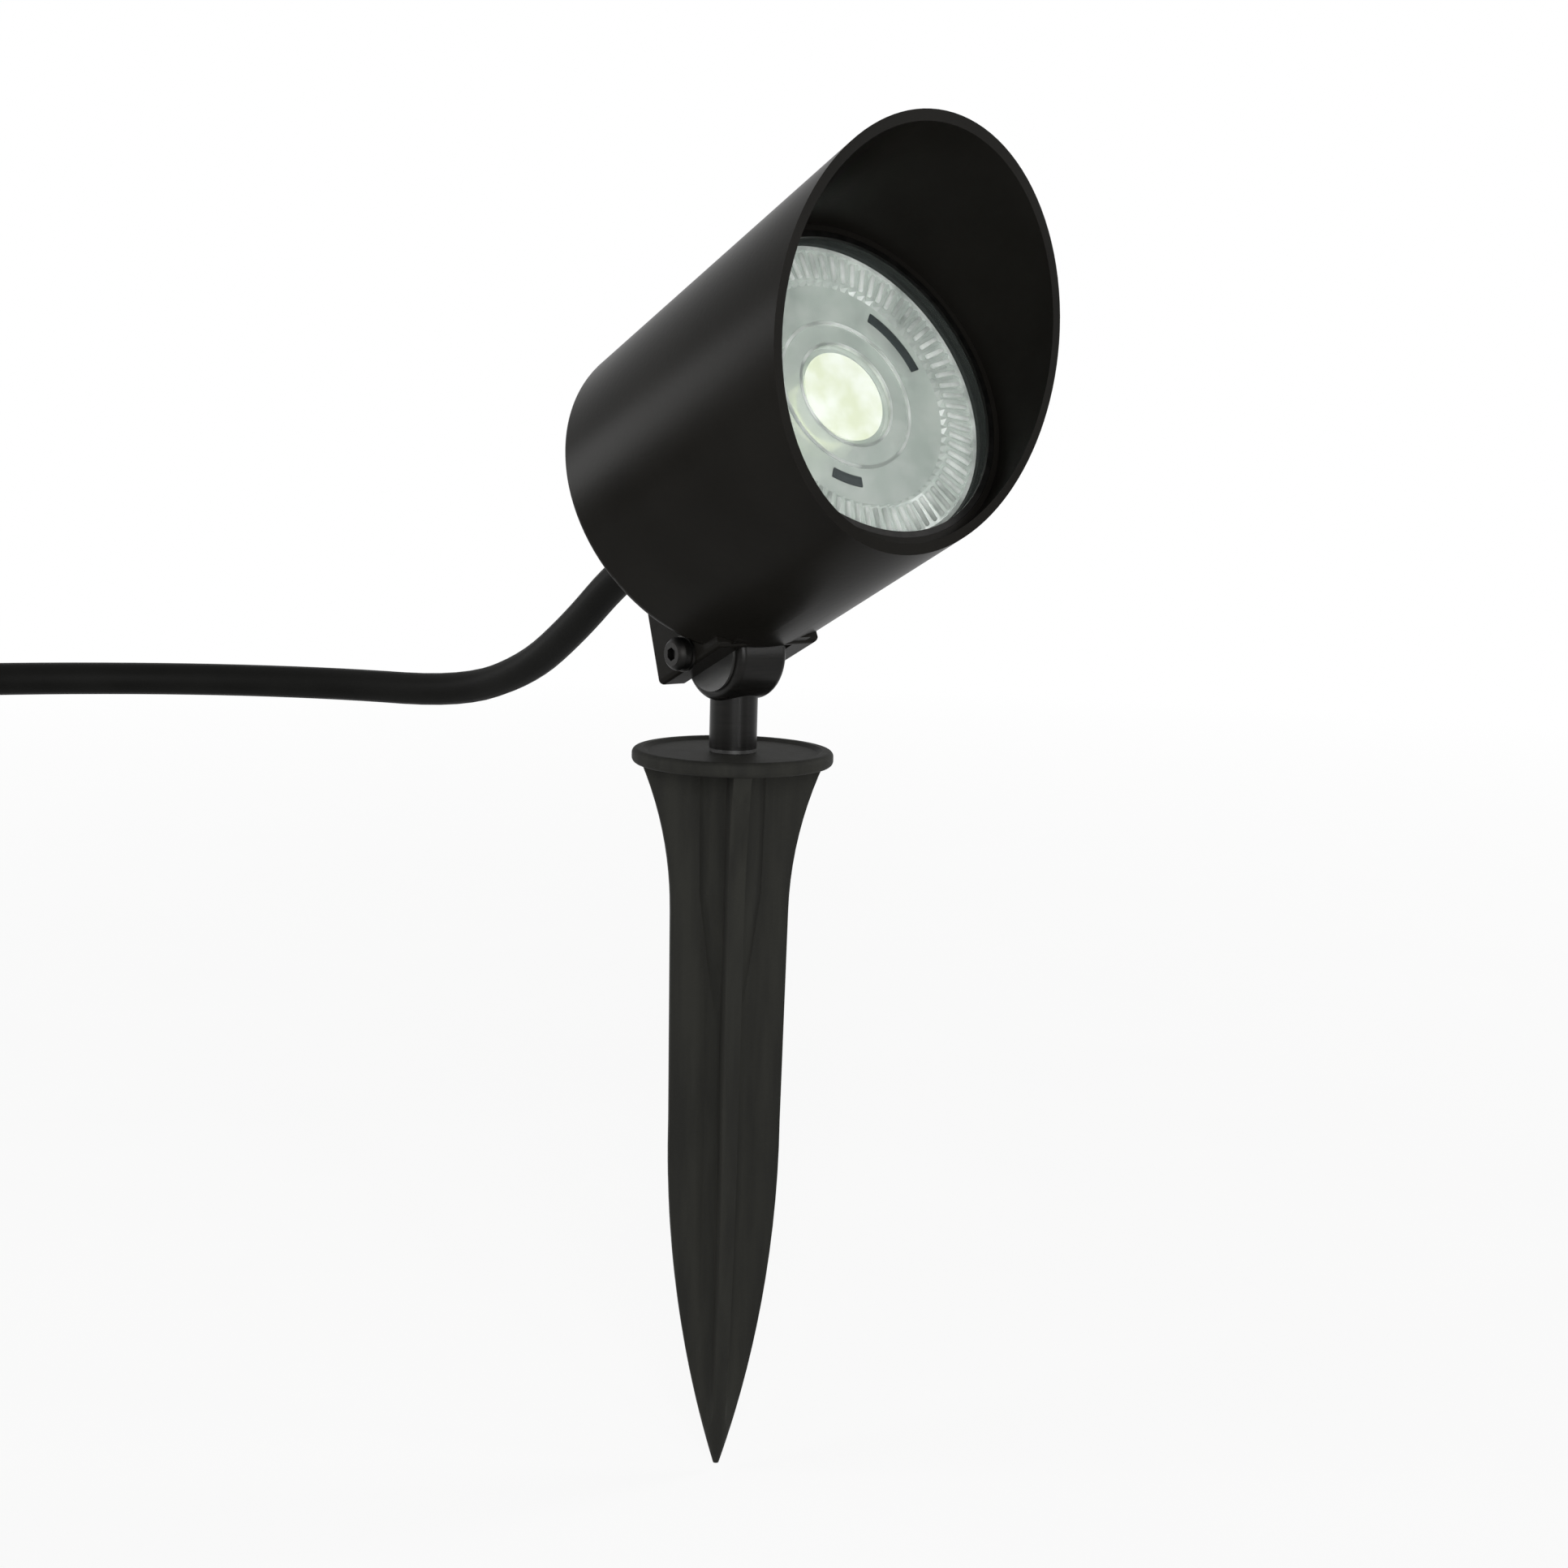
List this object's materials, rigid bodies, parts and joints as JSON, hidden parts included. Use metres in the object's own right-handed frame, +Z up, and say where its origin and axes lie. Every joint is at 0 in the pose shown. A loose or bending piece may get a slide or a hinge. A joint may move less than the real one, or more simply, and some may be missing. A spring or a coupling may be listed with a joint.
{
  "type": "garden spike spotlight",
  "caption": "Garden spotlight on a cross-finned ground spike: a tube head with an oblique visor tilts on a short swivelling stem, and a coiled supply lead ends in a plug.",
  "frame": {"origin": "on the spike's axis at ground level, in the plane of the flange's underside", "axes": "+Z up the spike's axis; the beam points to -Y and upwards; +X is along the tilt axis"},
  "size_m": [0.206, 0.188, 0.2271],
  "materials": {
    "head_black": "satin black powder coat",
    "stem_black": "satin black",
    "spike_grey": "moulded nylon, matte",
    "front_glass": "clear toughened glass",
    "lens_clear": "clear moulded acrylic",
    "lamp_white": "white heat-conducting plastic",
    "led_board": "white solder mask",
    "led_phosphor": "phosphor under silicone",
    "pin_brass": "plated",
    "holder_white": "ceramic",
    "seal_rubber": "moulded",
    "gland_nylon": "black nylon",
    "cord_rubber": "black rubber sheath",
    "core_copper": "stranded copper",
    "bolt_steel": "black zinc",
    "washer_nylon": "nylon",
    "plug_black": "black nylon"
  },
  "bodies": {
    "spike": {"spike": "spike_grey", "thrust_washer": "washer_nylon"},
    "stem": {"stem": "stem_black", "stem_friction_ring": "seal_rubber", "stem_snap_ring": "bolt_steel", "supply_lead": "cord_rubber", "cord_coil": "cord_rubber", "coil_tie": "gland_nylon", "connector_grommet": "seal_rubber", "connector_back_nut": "plug_black", "connector_shell": "plug_black", "connector_insert": "plug_black", "connector_contacts": "pin_brass"},
    "head": {"housing": "head_black", "front_glass": "front_glass", "lamp_seal": "seal_rubber", "glass_keeper": "bolt_steel", "lamp_cup": "lamp_white", "lamp_lens": "lens_clear", "led_board": "led_board", "led_chip": "led_phosphor", "lamp_pins": "pin_brass", "lamp_holder": "holder_white", "gland_body": "gland_nylon", "gland_seal": "seal_rubber", "gland_nut": "gland_nylon", "cord_end": "cord_rubber", "cord_cores": "core_copper", "pivot_bolt": "bolt_steel", "pivot_nut": "bolt_steel", "pivot_washers": "bolt_steel", "friction_washers": "washer_nylon"}
  },
  "joints": [
    {"name": "swivel", "type": "hinge", "parent": "spike", "child": "stem", "pos_m": [0, 0, 0], "axis": [0, 0, 1], "range_deg": [-175, 175]},
    {"name": "tilt", "type": "hinge", "parent": "stem", "child": "head", "pos_m": [0, 0, 0.0189], "axis": [-1, 0, 0], "range_deg": [-26.7, 50], "deforming": ["supply_lead"]}
  ]
}
